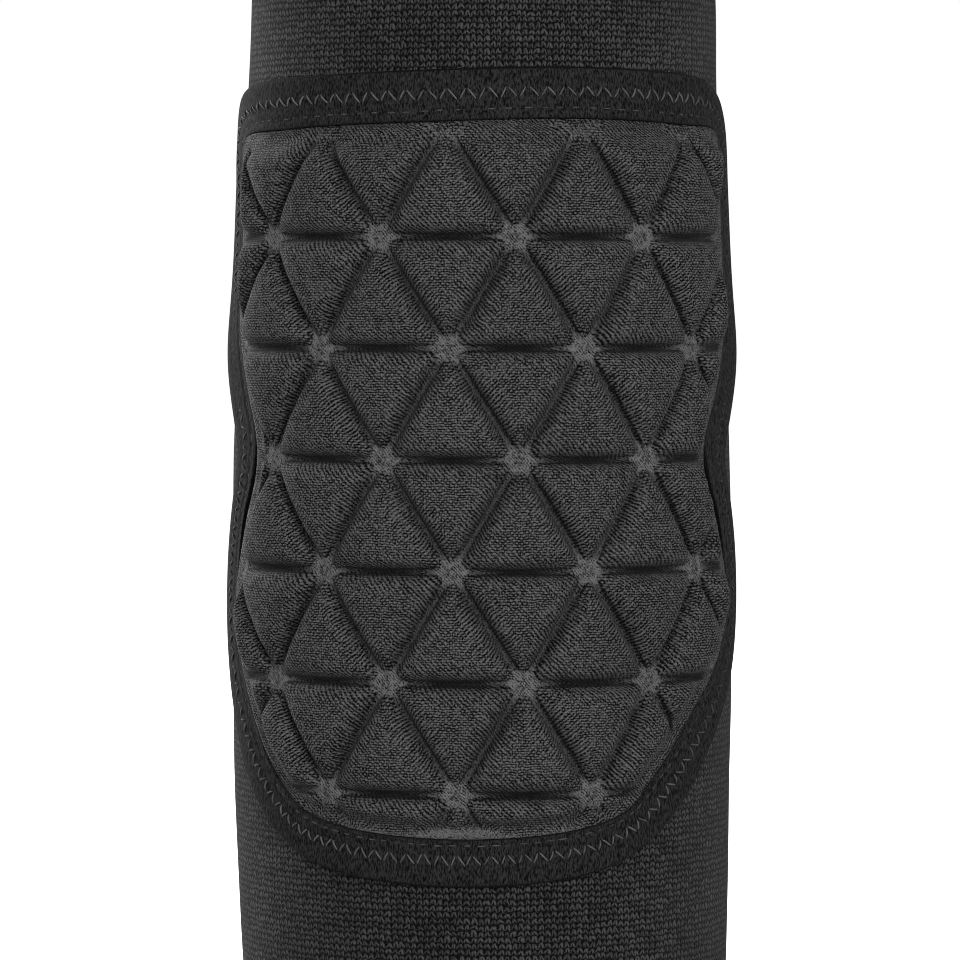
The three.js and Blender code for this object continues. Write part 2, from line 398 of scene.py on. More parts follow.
# %% Outline
PAD_OUTLINE = np.array(
    [
        (57, 57.8, 56), (45, 56.2, 56.2), (24, 56.8, 56.8), (12.5, 52.6, 52.6), (3.5, 48.8, 47.8),
        (-3.5, 48.8, 47.6), (-14, 53.2, 52.6), (-28.5, 57.6, 57), (-37, 55.6, 53.2), (-48, 50.2, 43.8),
        (-59, 43, 34), (-66, 34.6, 26.2),
    ],
    dtype=[("z", float), ("left", float), ("right", float)],
)
PAD_TOP = ((-56.6, 59.3), (-40, 60.7), (-8, 61.7), (16, 62.3), (40, 61.7), (54.6, 60.4))
PAD_FOOT = (-3, -70)
OUTLINE_STEPS = 40


def closed_curve(knots, steps):
    """Points of a centripetal curve through closed knots."""
    share = np.linspace(0, 1, steps, endpoint=False)[:, None]
    pieces = []
    for i in range(len(knots)):
        p0, p1, p2, p3 = (knots[(i + k) % len(knots)] for k in (-1, 0, 1, 2))
        d0, d1, d2 = (math.sqrt(math.dist(a, b)) for a, b in ((p0, p1), (p1, p2), (p2, p3)))
        t1 = ((p1 - p0) / d0 - (p2 - p0) / (d0 + d1) + (p2 - p1) / d1) * d1
        t2 = ((p2 - p1) / d1 - (p3 - p1) / (d1 + d2) + (p3 - p2) / d2) * d1
        a = 2 * (p1 - p2) + t1 + t2
        b = 3 * (p2 - p1) - 2 * t1 - t2
        pieces.append(((a * share + b) * share + t1) * share + p1)
    return np.concatenate(pieces)


def evenly(points, count):
    """Points spaced evenly along a closed line."""
    loop = np.concatenate([points, points[:1]])
    run = np.concatenate([[0], np.cumsum(np.linalg.norm(np.diff(loop, axis=0), axis=1))])
    at = np.linspace(0, run[-1], count, endpoint=False)
    return np.stack([np.interp(at, run, loop[:, k]) for k in range(2)], axis=-1)


def pad_outline():
    right = [(row["right"], row["z"]) for row in PAD_OUTLINE]
    left = [(-row["left"], row["z"]) for row in PAD_OUTLINE[::-1]]
    return closed_curve(np.array([*PAD_TOP, *right, PAD_FOOT, *left], dtype=float), OUTLINE_STEPS)


outline = pad_outline()
outline_length = np.linalg.norm(np.diff(outline, axis=0, append=outline[:1]), axis=1).sum()
print("the pad's edge is", round(outline_length, 1), "mm long")

# %% [markdown]
# ## The triangular cells
# The cover is moulded with straight grooves in three directions, which meet in six-armed stars. Between
# them the foam swells into broad soft pyramids. A lattice of triangles gives, for any place on the pad, the
# distance to each of the three nearest grooves. The height is then a steep flank beside the groove and a
# gentle dome over the middle. A cloth simulation is the usual way to make padding, but moulded foam keeps
# its form, and these grooves are narrower than the usual remesh can hold, so a formula was chosen. The
# border holds the foam down, so the cells lose height towards the pad's edge.

# %% Cell relief
CELL_SIDE = 24.3
CELL_ROW = 20.5
CELL_INRADIUS = CELL_ROW / 3
CELL_PHASE = 6.5
CELL_BASE = -0.3
CELL_LEAN = 0.018
GROOVE_LIFT = 1.7
GROOVE_FLAT = 0.4
FLANK_WIDTH = 1.8
FLANK_RISE = 2.4
CORNER_RISE = 0.6
DOME_RISE = 1.5
CORNER_ROUND = 0.9
CORNER_RANGE = (1.5, 9)
STAR_LIFT = 0.7
STAR_RADIUS = 3.0
# Gradients of the lattice coordinates: columns along a row, and rows
ALONG = np.array([1 / CELL_SIDE, CELL_LEAN / CELL_SIDE + 0.5 / CELL_ROW])
UPWARD = np.array([0, 1 / CELL_ROW])
ALTITUDES = 1 / np.linalg.norm([ALONG, ALONG - UPWARD, UPWARD], axis=1)


def lattice_at(places):
    """Column and row of flat places (u, z) on the lattice: whole numbers at the stars."""
    u, z = places.T
    row = (z - CELL_BASE) / CELL_ROW
    return (u - CELL_PHASE + CELL_LEAN * z) / CELL_SIDE + row / 2, row


def place_at(column, row):
    z = CELL_BASE + CELL_ROW * row
    return np.stack([CELL_PHASE + CELL_SIDE * (column - row / 2) - CELL_LEAN * z, z], axis=-1)


def cell_shares(along, up, whole):
    """Shares of three corners, from the steps into a cell along a row and up: cells point up or down."""
    upright = (along >= up)[..., None]
    pointing_up = np.stack([whole - along, along - up, up], axis=-1)
    pointing_down = np.stack([whole - up, up - along, along], axis=-1)
    return np.where(upright, pointing_up, pointing_down), upright[..., 0]


def groove_distances(places):
    """Distances from flat places to the three grooves round their cells."""
    column, row = lattice_at(places)
    shares, upright = cell_shares(column % 1, row % 1, 1)
    return shares * np.where(upright[:, None], ALTITUDES, ALTITUDES[::-1])


def cell_relief(places):
    """Lift of the cover, its distance to the grooves with their corners rounded, and to a star."""
    distances = groove_distances(places)
    nearest = -CORNER_ROUND * np.log(np.exp(-distances / CORNER_ROUND).sum(axis=-1))
    to_star = CELL_ROW - distances.max(axis=-1)
    star = np.exp(-(np.maximum(to_star, 0) / STAR_RADIUS) ** 2)
    flank = 1 - (1 - np.clip((nearest - GROOVE_FLAT) / FLANK_WIDTH, 0, 1)) ** 2
    rise = FLANK_RISE * (CORNER_RISE + (1 - CORNER_RISE) * smoothstep(*CORNER_RANGE, to_star))
    dome = 1 - (1 - np.clip(nearest / (CELL_INRADIUS - CORNER_ROUND), 0, 1)) ** 2
    return GROOVE_LIFT + rise * flank + DOME_RISE * dome + STAR_LIFT * star, nearest, to_star


sample, _, _ = cell_relief(np.stack([np.linspace(-40, 40, 400), np.full(400, 7.0)], axis=-1))
print("cells rise from", round(sample.min(), 2), "to", round(sample.max(), 2), "mm")

# %% [markdown]
# ## The pad's cover
# The cover is a fine jersey: rows of small holes on the crowns, slanted yarns where it is drawn over the
# flanks, and a closed, paler face in the stars and partly in the grooves, where it is pressed. Cosines in
# the pad's own map draw all three. A field on the mesh says which way the yarns lean: across the nearest
# groove, as they do on the cloth.

# %% Jersey finish
JERSEY_DARK = 0.0025
JERSEY_LIGHT = 0.128
JERSEY_SLACK = 0.165
# Lightness left in the cover's colour under the deepest painted shade in the grooves
CREASE_SHADE_LIGHT = 0.1
SWAY_ACROSS = 0.7
SWAY_ALONG = 0.6
ROW_DOTS = 0.23
WALE_DOTS = 0.1
SLANT = 0.12
TURN = 2 * math.pi


def jersey_finish():
    jersey = Finish(bpy.data.materials.new("pad_jersey"))
    stitches = jersey.node("UVMap", {"uv_map": "weave"})
    place = jersey.node("SeparateXYZ", {}, {"Vector": stitches})
    sway = jersey.noise(stitches, scale=0.45, detail=2.0, dimensions="2D")
    shift = jersey.node("SeparateXYZ", {}, {"Vector": sway.output("Color")})
    x = place + SWAY_ACROSS * (shift - 0.5)
    y = place.output("Y") + SWAY_ALONG * (shift.output("Y") - 0.5)
    falling = (TURN * (x + y)).math("COSINE")
    rising = (TURN * (x - y)).math("COSINE")
    number = jersey.node("CombineXYZ", {}, {"X": (x + y).math("ROUND"), "Y": (x - y).math("ROUND")})
    chance = jersey.node("TexWhiteNoise", {"noise_dimensions": "2D"}, {"Vector": number})
    slack = jersey.node("Attribute", {"attribute_name": "slack"}, {}, "Fac")
    fibre = jersey.noise(stitches, scale=3.2, detail=1.0, dimensions="2D")
    leaning = jersey.node("Attribute", {"attribute_name": "lean"}, {}, "Fac")
    patches = jersey.noise(stitches, scale=0.08, detail=1.0, dimensions="2D")
    lean = SLANT * leaning + 0.2 * (patches - 0.5)
    upright = 1 - 0.55 * leaning.math("ABSOLUTE")
    uneven = 1.2 * (fibre - 0.5) + 0.25 * (chance - 0.5)
    rows = (2 * TURN * y).math("COSINE")
    wales = (2 * TURN * x).math("COSINE")
    dots = upright * (ROW_DOTS * rows + WALE_DOTS * wales)
    net = 0.5 + dots + (SLANT + lean) * falling + (SLANT - lean) * rising + uneven
    closed = 0.7 + 0.18 * (1.6 * TURN * (x + y)).math("COSINE") + uneven
    yarn = (net + slack * (closed - net)).step(0.2, 0.88)
    cloud = jersey.noise(stitches, scale=0.05, detail=2.0, dimensions="2D")
    # Painted shade in the grooves: this field darkens the yarn's colour on their floors and beside them
    crease_shade = jersey.node("Attribute", {"attribute_name": "crease_shade"}, {}, "Fac")
    lit = (crease_shade * (1.25 - 0.4 * yarn)).step(0, 1, 1.0, CREASE_SHADE_LIGHT)
    light = jersey.mix(slack, grey(JERSEY_LIGHT), grey(JERSEY_SLACK))
    return jersey.surface(
        Base_Color=jersey.mix(yarn * (0.85 + 0.3 * cloud) * lit, grey(JERSEY_DARK), light),
        Roughness=0.9,
        Specular_IOR_Level=0.05,
        Sheen_Weight=0.04,
        Sheen_Roughness=0.4,
        Normal=jersey.bump(yarn, distance=0.00018, strength=0.6),
    )


pad_jersey = jersey_finish()

# %% [markdown]
# ## Making the pad
# A plain grid would cut the slanted grooves into steps. So the mesh is a fine triangular lattice on the
# cells themselves: rings of points step in from the grooves, close together on the flanks and wider on the
# crown. The lattice is cut off at the pad's edge, and the points next to it are moved onto it. A second
# layer makes the back, and a wall joins the two. Little light reaches into the creases: the level ones are
# nearly shut, and the falling ones are folded under on their upper side. Their shade is kept as a field
# that darkens the cover there.

# %% Pad lattice
CELL_STEPS = 39
RING_EASE = 0.25
EDGE_POINTS = 400


def lattice_mesh(edge):
    """Flat places and faces of the fine lattice over the pad."""
    column, row = lattice_at(edge)
    columns, rows = np.meshgrid(*(
        np.arange(math.floor(n.min()) * CELL_STEPS, math.ceil(n.max()) * CELL_STEPS + 1)
        for n in (column, row)
    ))
    steps, upright = cell_shares(columns % CELL_STEPS, rows % CELL_STEPS, CELL_STEPS)
    ring = steps.min(axis=-1, keepdims=True)
    inward = 3 * ring / CELL_STEPS
    inset = (RING_EASE * inward + (1 - RING_EASE) * inward ** 2) / 3
    share = inset + (1 - 3 * inset) * (steps - ring) / np.maximum(CELL_STEPS - 3 * ring, 1)
    near, far = share[..., 2], share[..., 1] + share[..., 2]
    places = place_at(
        columns // CELL_STEPS + np.where(upright, far, near),
        rows // CELL_STEPS + np.where(upright, near, far),
    )
    quads, _, _ = grid_faces(*columns.shape)
    return places.reshape(-1, 2), np.concatenate([quads[:, [0, 1, 2]], quads[:, [0, 2, 3]]])


pad_line = evenly(outline, EDGE_POINTS)
lattice_places, lattice_faces = lattice_mesh(pad_line)
print("the lattice has", len(lattice_faces), "faces before it is cut")

# %% Cutting the lattice
SNAP = 0.2


def within(line, places):
    """Which places lie inside a closed line: a ray to the right crosses it an odd number of times."""
    inside = np.zeros(len(places), dtype=bool)
    u, z = places.T
    for (u0, z0), (u1, z1) in zip(line, np.roll(line, -1, axis=0)):
        crosses = (z0 > z) != (z1 > z)
        inside[crosses] ^= u[crosses] < u0 + (z[crosses] - z0) * (u1 - u0) / (z1 - z0)
    return inside


def nearest_on(line, places):
    """Nearest point of a closed line to each place, and its distance."""
    best = np.full(len(places), np.inf)
    found = np.empty_like(places)
    for start, stop in zip(line, np.roll(line, -1, axis=0)):
        way = stop - start
        share = np.clip((places - start) @ way / (way @ way), 0, 1)
        point = start + share[:, None] * way
        gap = ((places - point) ** 2).sum(axis=1)
        closer = gap < best
        best[closer] = gap[closer]
        found[closer] = point[closer]
    return found, np.sqrt(best)


def used_only(faces, *columns):
    """The faces renumbered for the points they use, and those points' columns."""
    used, renumbered = np.unique(faces, return_inverse=True)
    return renumbered.reshape(faces.shape), *(column[used] for column in columns)


def cut_lattice():
    """Faces, flat places and distances from the edge of the pad's face."""
    inside = within(pad_line, lattice_places)
    faces = lattice_faces[inside[lattice_faces].any(axis=1)]
    faces, places, inside = used_only(faces, lattice_places, inside)
    nearest, from_edge = nearest_on(pad_line, places)
    on_edge = ~inside | (from_edge < SNAP)
    places = np.where(on_edge[:, None], nearest, places)
    from_edge = np.where(on_edge, 0, from_edge)
    return used_only(faces[~on_edge[faces].all(axis=1)], places, from_edge)


pad_faces, pad_places, from_edge = cut_lattice()
print("the pad's face keeps", len(pad_faces), "of them")

# %% Pad height
EDGE_LIFT = 1.4
SIDE_EDGE_LIFT = 0.6
SIDE_RANGE = (40, 50)
EDGE_FLAT = 1.5
EDGE_REACH = 6.5
TIGHT_REACH = 4.5
WAIST_HEIGHT = -7
WAIST_SPAN = 14
FOOT_RANGE = (-56, -64)
FLANGE_LIFT = 1.5
FLANGE_WIDTH = 1.8
FLANGE_LINE = 0.35
FLANGE_SOFT = 0.3
FLANGE_REACH = 9
FLANGE_CENTRE = -3.5
FLANGE_TOP = -60
FLANGE_END = 2.5


def flange():
    """Weight of the flat strip along the foot, where the cover is pressed without foam."""
    u, z = pad_places.T
    off_centre = np.abs(u - FLANGE_CENTRE) / FLANGE_REACH
    width = FLANGE_LINE + FLANGE_WIDTH * np.clip(1 - off_centre ** 2, 0, 1)
    strip = 1 - smoothstep(width - FLANGE_SOFT, width + FLANGE_SOFT, from_edge)
    return strip * (z < FLANGE_TOP) * (off_centre < FLANGE_END)


def pad_lift():
    """The relief, held down towards the edge and pressed flat along the foot."""
    u, z = pad_places.T
    waist = np.exp(-((z - WAIST_HEIGHT) / WAIST_SPAN) ** 2)
    tight = np.maximum(waist, smoothstep(*FOOT_RANGE, z))
    free = smoothstep(EDGE_FLAT, EDGE_REACH + (TIGHT_REACH - EDGE_REACH) * tight, from_edge)
    edge = EDGE_LIFT + SIDE_EDGE_LIFT * smoothstep(*SIDE_RANGE, np.abs(u))
    lift = free * relief + (1 - free) * edge
    return (1 - pressed) * lift + pressed * FLANGE_LIFT


relief, to_groove, to_star = cell_relief(pad_places)
pressed = flange()
face_lift = pad_lift()
print("the cover stands", round(face_lift.min(), 2), "to", round(face_lift.max(), 2), "mm off the knit")

# %% Groove shades
# Depth of the painted shade for each direction of groove: above and below it, broad over its flanks, on its
# floor and more in its middle; and how far the yarns lean
GROOVE_SHADES = np.array(
    [
        ("level", 0.8, 0.95, 0.15, 0.62, 0.38, 0.9),
        ("falling", 0.96, 0.5, 0.2, 0.64, 0, -1),
        ("rising", 0.65, 0.65, 0.34, 0.64, 0, 1),
    ],
    dtype=[
        ("kind", "U8"), ("above", float), ("below", float), ("broad", float),
        ("floor", float), ("middle", float), ("lean", float),
    ],
)
FLOOR_SOFT = 0.15
FLANK_START = 0.3
FLANK_FOOT = 0.66
FOOT_WIDTH = 0.18
BROAD_REACH = 3.0
MIDDLE_RANGE = (4, 9)
STAR_CLEAR = (1.3, 3.0)
LEAN_RANGE = (1.5, 5.5)
SIDE_LEAN = 0.5
SIDE_LEAN_RANGE = (30, 48)
STRIP_OPEN = 0.3
LEVEL_OPEN = 0.8
LEVEL_RANGE = (0.4, 0.8)
BETWEEN_STARS = (2.5, 5)
EDGE_SLACK = 0.2
EDGE_SLACK_RANGE = (1, 5)


def groove_ways():
    """For each direction of groove, the distance to it and which places lie above it."""
    column, row = lattice_at(pad_places)
    upright = column % 1 >= row % 1
    distances = groove_distances(pad_places)
    return {
        "level": (np.where(upright, distances[:, 2], distances[:, 0]), upright),
        "falling": (np.where(upright, distances[:, 0], distances[:, 2]), ~upright),
        "rising": (distances[:, 1], ~upright),
    }


def groove_slack(to_level):
    """How far the weave is closed on the floor of the grooves."""
    floor = 1 - smoothstep(GROOVE_FLAT - FLOOR_SOFT, GROOVE_FLAT + FLOOR_SOFT, to_groove)
    level = 1 - smoothstep(*LEVEL_RANGE, to_level)
    open_weave = smoothstep(*BETWEEN_STARS, to_star) * (STRIP_OPEN + (LEVEL_OPEN - STRIP_OPEN) * level)
    off_edge = EDGE_SLACK + (1 - EDGE_SLACK) * smoothstep(*EDGE_SLACK_RANGE, from_edge)
    return floor * (1 - open_weave) * off_edge


def groove_fields():
    """The closed floor of the grooves, the shade on it and beside it, and which way the yarns lean."""
    ways = groove_ways()
    crease_shade = np.zeros(len(pad_places))
    lean = np.zeros(len(pad_places))
    for shade in GROOVE_SHADES:
        distance, is_above = ways[shade["kind"]]
        # Painted shade: a line at the foot of each flank, a broad fall over the flank, and the shut floor of
        # the groove
        foot = np.exp(-((distance - FLANK_FOOT) / FOOT_WIDTH) ** 2)
        beside = np.where(is_above, shade["above"], shade["below"]) * foot
        shut = shade["floor"] + shade["middle"] * smoothstep(*MIDDLE_RANGE, to_star)
        past_floor = smoothstep(GROOVE_FLAT, GROOVE_FLAT + FLANK_START, distance)
        broad = shade["broad"] * past_floor * (1 - smoothstep(FLANK_FOOT, BROAD_REACH, distance))
        crease_shade = np.maximum.reduce([crease_shade, beside, broad, shut * (1 - past_floor)])
        lean += shade["lean"] * (1 - smoothstep(*LEAN_RANGE, distance))
    upright_sides = 1 - SIDE_LEAN * smoothstep(*SIDE_LEAN_RANGE, np.abs(pad_places[:, 0]))
    return {
        "slack": groove_slack(ways["level"][0]),
        "crease_shade": crease_shade * smoothstep(*STAR_CLEAR, to_star),
        "lean": np.clip(lean, -1, 1) * upright_sides,
    }


shades = groove_fields()
print("the deepest shade in a groove is", round(shades["crease_shade"].max(), 2))

# %% Pad weave
WALE_PITCH = 0.93
COURSE_PAIR = 1.03
CORNER_SHARE = 0.99
CROWN_PULL = 0.07
CROWN_RANGE = (0, 5)
FLANK_DRAW = 0.2
FLANK_RANGE = (2, 6)
FLANK_TOP = 1 - (GROOVE_FLAT + FLANK_WIDTH) / CELL_INRADIUS


def pad_weave():
    """Stitch places of the front's corners: closer over each crown, and by length down the flanks."""
    corners = pad_places[pad_faces]
    middle = corners.mean(axis=1, keepdims=True)
    places = (CORNER_SHARE * corners + (1 - CORNER_SHARE) * middle).reshape(-1, 2)
    column, row = lattice_at(places)
    upright = column % 1 >= row % 1
    centre = place_at(
        np.floor(column) + np.where(upright, 2, 1) / 3,
        np.floor(row) + np.where(upright, 1, 2) / 3,
    )
    distances = groove_distances(places)
    from_star = CELL_ROW - distances.max(axis=-1)
    outward = 1 - distances.min(axis=-1) / CELL_INRADIUS
    down_flank = np.clip((outward - FLANK_TOP) / (1 - FLANK_TOP), 0, 1)
    crown = CROWN_PULL * (1 - outward ** 2) * smoothstep(*CROWN_RANGE, from_star)
    flank = FLANK_DRAW * down_flank ** 2 * smoothstep(*FLANK_RANGE, from_star)
    return places + (crown + flank)[:, None] * (places - centre)


front_weave = pad_weave()
print("the front has", len(front_weave), "face corners in the weave")

# %% Pad mesh
SEAT_GAP = 0.45
HEM_SLACK = 0.4
HEM_WIDTH = 2.6
HEM_FADE = (0.6, 1)
HEM_SIDES = (44, 50)
HEM_FOOT = -40
FLANGE_SLACK = 0.8
TOP_SHADE = 0.4
TOP_SHADE_WIDTH = 2.5
TOP_RANGE = (50, 58)
CREASE_SHADE_EDGE = (0.5, 3)


def pad_fields():
    """The grooves' fields, with the hem at the sides, the flange and the painted shadow of the border's top
    edge.
    """
    u, z = pad_places.T
    hem = HEM_SLACK * (1 - smoothstep(*HEM_FADE, from_edge / HEM_WIDTH))
    side_hem = hem * smoothstep(*HEM_SIDES, np.abs(u)) * (z > HEM_FOOT)
    # Painted shadow that the border's top edge casts on the pad below it
    border_shadow = TOP_SHADE * (1 - smoothstep(0, TOP_SHADE_WIDTH, from_edge)) * smoothstep(*TOP_RANGE, z)
    # The painted groove shade fades out at the pad's edge and on the flange
    crease_shade = shades["crease_shade"] * (1 - pressed) * smoothstep(*CREASE_SHADE_EDGE, from_edge)
    return {
        "slack": np.maximum.reduce([shades["slack"], side_hem, FLANGE_SLACK * pressed]),
        "crease_shade": np.maximum(crease_shade, border_shadow),
        "lean": shades["lean"],
    }


def pad():
    count = len(pad_places)
    front = on_sleeve(*pad_places.T, face_lift)
    back = on_sleeve(*pad_places.T, np.full(count, SEAT_GAP))
    sides = {(a, b) for face in pad_faces.tolist() for a, b in zip(face, face[1:] + face[:1])}
    wall = [[b, a, a + count, b + count] for a, b in sorted(sides) if (b, a) not in sides]
    faces = [*pad_faces.tolist(), *(pad_faces[:, ::-1] + count).tolist(), *wall]
    plain = np.concatenate([np.array(face) for face in faces[len(pad_faces):]]) % count
    weave = np.concatenate([front_weave, pad_places[plain]]) / np.array([WALE_PITCH, COURSE_PAIR])
    fields = {name: np.concatenate([field, np.zeros(count)]) for name, field in pad_fields().items()}
    return make_piece("pad_cover", np.concatenate([front, back]), faces, pad_jersey, weave, fields)


pad_cover = pad()
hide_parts("elbow_pad")

# %% [markdown]
# ## The border's finish
# The border is a brushed fabric, darker than the pad, with a short matt nap and no visible weave. Fine
# noise at two scales gives the nap. It is drawn out along the arm, the way the nap lies, and a little sheen
# lifts it where the eye meets it at a low angle.

# %% Border finish
NAP_DARK = 0.003
NAP_LIGHT = 0.034
SHADE_LIGHT = 0.05
NAP_LAY = (1.2, 1.2, 0.35)
NAP_SHARE = 0.86


def border_finish():
    border = Finish(bpy.data.materials.new("border_fabric"))
    place = border.node("TexCoord", {}, {}, "Object")
    lain = border.node("VectorMath", {"operation": "MULTIPLY"}, {0: place, 1: NAP_LAY})
    nap = border.noise(lain, scale=3400, detail=3.0)
    tuft = border.noise(place, scale=900, detail=2.0)
    fuzz = NAP_SHARE * nap + (1 - NAP_SHARE) * tuft
    shade = border.node("Attribute", {"attribute_name": "shade"}, {}, "Fac")
    # The shade field is painted shade: it darkens the nap on the strip's inner wall and its outer rolled
    # edge
    level = fuzz.step(0.36, 0.64) * shade.step(0, 1, 1.0, SHADE_LIGHT)
    return border.surface(
        Base_Color=border.mix(level, grey(NAP_DARK), grey(NAP_LIGHT)),
        Roughness=0.95,
        Specular_IOR_Level=0.04,
        Sheen_Weight=0.015,
        Sheen_Roughness=0.5,
        Normal=border.bump(fuzz, distance=0.0003, strength=0.5),
    )


border_fabric = border_finish()

# %% [markdown]
# ## Making the border
# The strip follows the pad's edge all the way round. Its inner line lies just outside the edge, and its
# outer line is the edge pushed out and eased, so that it does not kink at the waist. A section with rolled
# edges is swept between the two, with a shallow channel where the stitches pull it down. At the waist the
# strip stands off the pad, which leaves a slit, dark from its depth and from painted shade on the strip's
# inner wall. The strip's outer edge bulges above the bend, and at the foot the stitches lie nearer the pad.
# Painted shade also darkens the outer rolled edge.

# %% Border lines
BORDER_WIDTH = 9.6
RIM_GAP = 0.15
EASE_STATIONS = 120
EASE_PASSES = 4
BORDER_COLUMNS = 1440
SLIT_TOP = 5
SLIT_BOTTOM = -24
SLIT_WIDTH = 1.7
CORNER_REACH_LEFT = 9
CORNER_REACH_RIGHT = 3
CORNER_HEIGHTS = (50, 62)
CORNER_SIDES = (34, 58)
FOOT_TRIM = 0.07
TRIM_RANGE = (-60, -72)


def offset_line(distance):
    """The pad's edge, pushed out by a distance and eased."""
    points = evenly(outline, EASE_STATIONS)
    tangent = np.roll(points, -1, axis=0) - np.roll(points, 1, axis=0)
    tangent /= np.linalg.norm(tangent, axis=1)[:, None]
    line = points + distance * np.stack([-tangent[:, 1], tangent[:, 0]], axis=-1)
    for _ in range(round(EASE_PASSES * distance / BORDER_WIDTH)):
        line = (np.roll(line, 1, axis=0) + 2 * line + np.roll(line, -1, axis=0)) / 4
    return closed_curve(line, BORDER_COLUMNS // EASE_STATIONS)


def slit_at(z):
    """How open the slit beside the pad is at a height, from 0 to 1."""
    share = np.clip((z - SLIT_BOTTOM) / (SLIT_TOP - SLIT_BOTTOM), 0, 1)
    return 4 * share * (1 - share)


inner_line = offset_line(RIM_GAP)
inner_line[:, 0] += np.sign(inner_line[:, 0]) * SLIT_WIDTH * slit_at(inner_line[:, 1])
outer_line = offset_line(RIM_GAP + BORDER_WIDTH)
corner = smoothstep(*CORNER_HEIGHTS, outer_line[:, 1]) * smoothstep(*CORNER_SIDES, np.abs(outer_line[:, 0]))
outer_line[:, 0] += np.where(outer_line[:, 0] < 0, -CORNER_REACH_LEFT, CORNER_REACH_RIGHT) * corner
trimmed = FOOT_TRIM * smoothstep(*TRIM_RANGE, outer_line[:, 1])
outer_line += trimmed[:, None] * (inner_line - outer_line)
middle_line = (inner_line + outer_line) / 2
strides = np.linalg.norm(np.diff(middle_line, axis=0, append=middle_line[:1]), axis=1)
strip_run = np.concatenate([[0], np.cumsum(strides)])
strip_length = strip_run[-1]
print("the strip is", round(strip_length, 1), "mm long")

# %% Border section
BORDER_THICKNESS = 1.3
INNER_ROLL = 50
OUTER_ROLL = 18
ZIGZAG_INNER = 3.9
ZIGZAG_OUTER = 5.9
RUN_LINE = 1.9
CHANNEL_WIDTH = 0.55
CHANNELS = (
    {"line": RUN_LINE, "depth": 0.18},
    {"line": ZIGZAG_INNER, "depth": 0.12},
    {"line": ZIGZAG_OUTER, "depth": 0.12},
)
FOOT_DRAW = 0.75
DRAW_RANGE = (-45, -68)


def strip_place(along, reach):
    """Flat place on the strip at a length along its middle and a reach out from its inner edge."""
    at = np.interp(along % strip_length, strip_run, np.arange(BORDER_COLUMNS + 1))
    i = np.floor(at).astype(int) % BORDER_COLUMNS
    j = (i + 1) % BORDER_COLUMNS
    t = (at - np.floor(at))[..., None]
    inner = (1 - t) * inner_line[i] + t * inner_line[j]
    outer = (1 - t) * outer_line[i] + t * outer_line[j]
    share = np.asarray(reach / BORDER_WIDTH)[..., None]
    return (1 - share) * inner + share * outer


def nearing_foot(along):
    """From 0 to 1 as the strip's middle comes down to the foot, at a length along it."""
    height = strip_place(along, np.full(along.shape, BORDER_WIDTH / 2))[..., 1]
    return smoothstep(*DRAW_RANGE, height)


def strip_lift(reach, draw):
    """Height of the strip's upper face: rolled edges, and a channel under each row of stitches."""
    across = np.abs(2 * reach / BORDER_WIDTH - 1)
    roll = np.where(reach < BORDER_WIDTH / 2, INNER_ROLL, OUTER_ROLL)
    body = np.clip(1 - across ** roll, 0, 1) ** 0.5
    channels = 0
    for row in CHANNELS:
        channels = channels + row["depth"] * np.exp(-((reach + draw - row["line"]) / CHANNEL_WIDTH) ** 2)
    return SEAT_GAP + np.maximum(BORDER_THICKNESS * body - channels, 0)


middle_lift = strip_lift(np.array(BORDER_WIDTH / 2), 0)
print("the strip's middle stands", round(float(middle_lift), 2), "mm off the knit")

# %% Border mesh
TOP_ROWS = 30
UNDER_ROWS = 5
ROW_EASE = 0.8
BEND_HEIGHT = 18
BEND_SPAN = 11
BEND_LIFT = 0.8
RIM_SHADE = 0.2
INNER_SHADE = (0.1, 0.5)
OUTER_SHADE = (BORDER_WIDTH - 0.6, BORDER_WIDTH - 0.15)


def border():
    swing = np.cos(np.linspace(math.pi, 0, TOP_ROWS))
    top_reach = BORDER_WIDTH / 2 * (1 + np.sign(swing) * np.abs(swing) ** ROW_EASE)
    under_reach = np.linspace(BORDER_WIDTH, 0, UNDER_ROWS + 2)[1:-1]
    reach = np.concatenate([top_reach, under_reach])[:, None]
    along = np.linspace(0, strip_length, BORDER_COLUMNS, endpoint=False)
    flat = strip_place(np.broadcast_to(along, (len(reach), BORDER_COLUMNS)), reach)
    lift = strip_lift(reach, FOOT_DRAW * nearing_foot(along))
    lift[TOP_ROWS:] = SEAT_GAP
    bend = np.exp(-((flat[..., 1] - BEND_HEIGHT) / BEND_SPAN) ** 2)
    lift += BEND_LIFT * bend * smoothstep(0, BORDER_WIDTH, reach)
    points = on_sleeve(flat[..., 0], flat[..., 1], lift)
    # Painted shade: the inner wall darkens, fully in the slit at the waist, and so does the outer rolled
    # edge
    slit_shade = RIM_SHADE + (1 - RIM_SHADE) * slit_at(flat[..., 1])
    inner = slit_shade * (1 - smoothstep(*INNER_SHADE, reach))
    fields = {"shade": np.maximum(inner, smoothstep(*OUTER_SHADE, reach)).ravel()}
    faces, _, _ = grid_faces(len(reach), BORDER_COLUMNS, True, True)
    return make_piece("border_strip", points.reshape(-1, 3), faces.tolist(), border_fabric, fields=fields)


border_strip = border()
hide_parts("pad_border")

# %% [markdown]
# ## The stitches
# A zigzag row holds the strip down, and a row of short run stitches lies between it and the pad. Each
# stitch is a thread that dives into the fabric at both ends, so it is made as a short tube that arches over
# the surface. All the tubes of a row are joined into one mesh.

# %% Thread finish
THREAD_DARK = 0.012
THREAD_LIGHT = 0.16


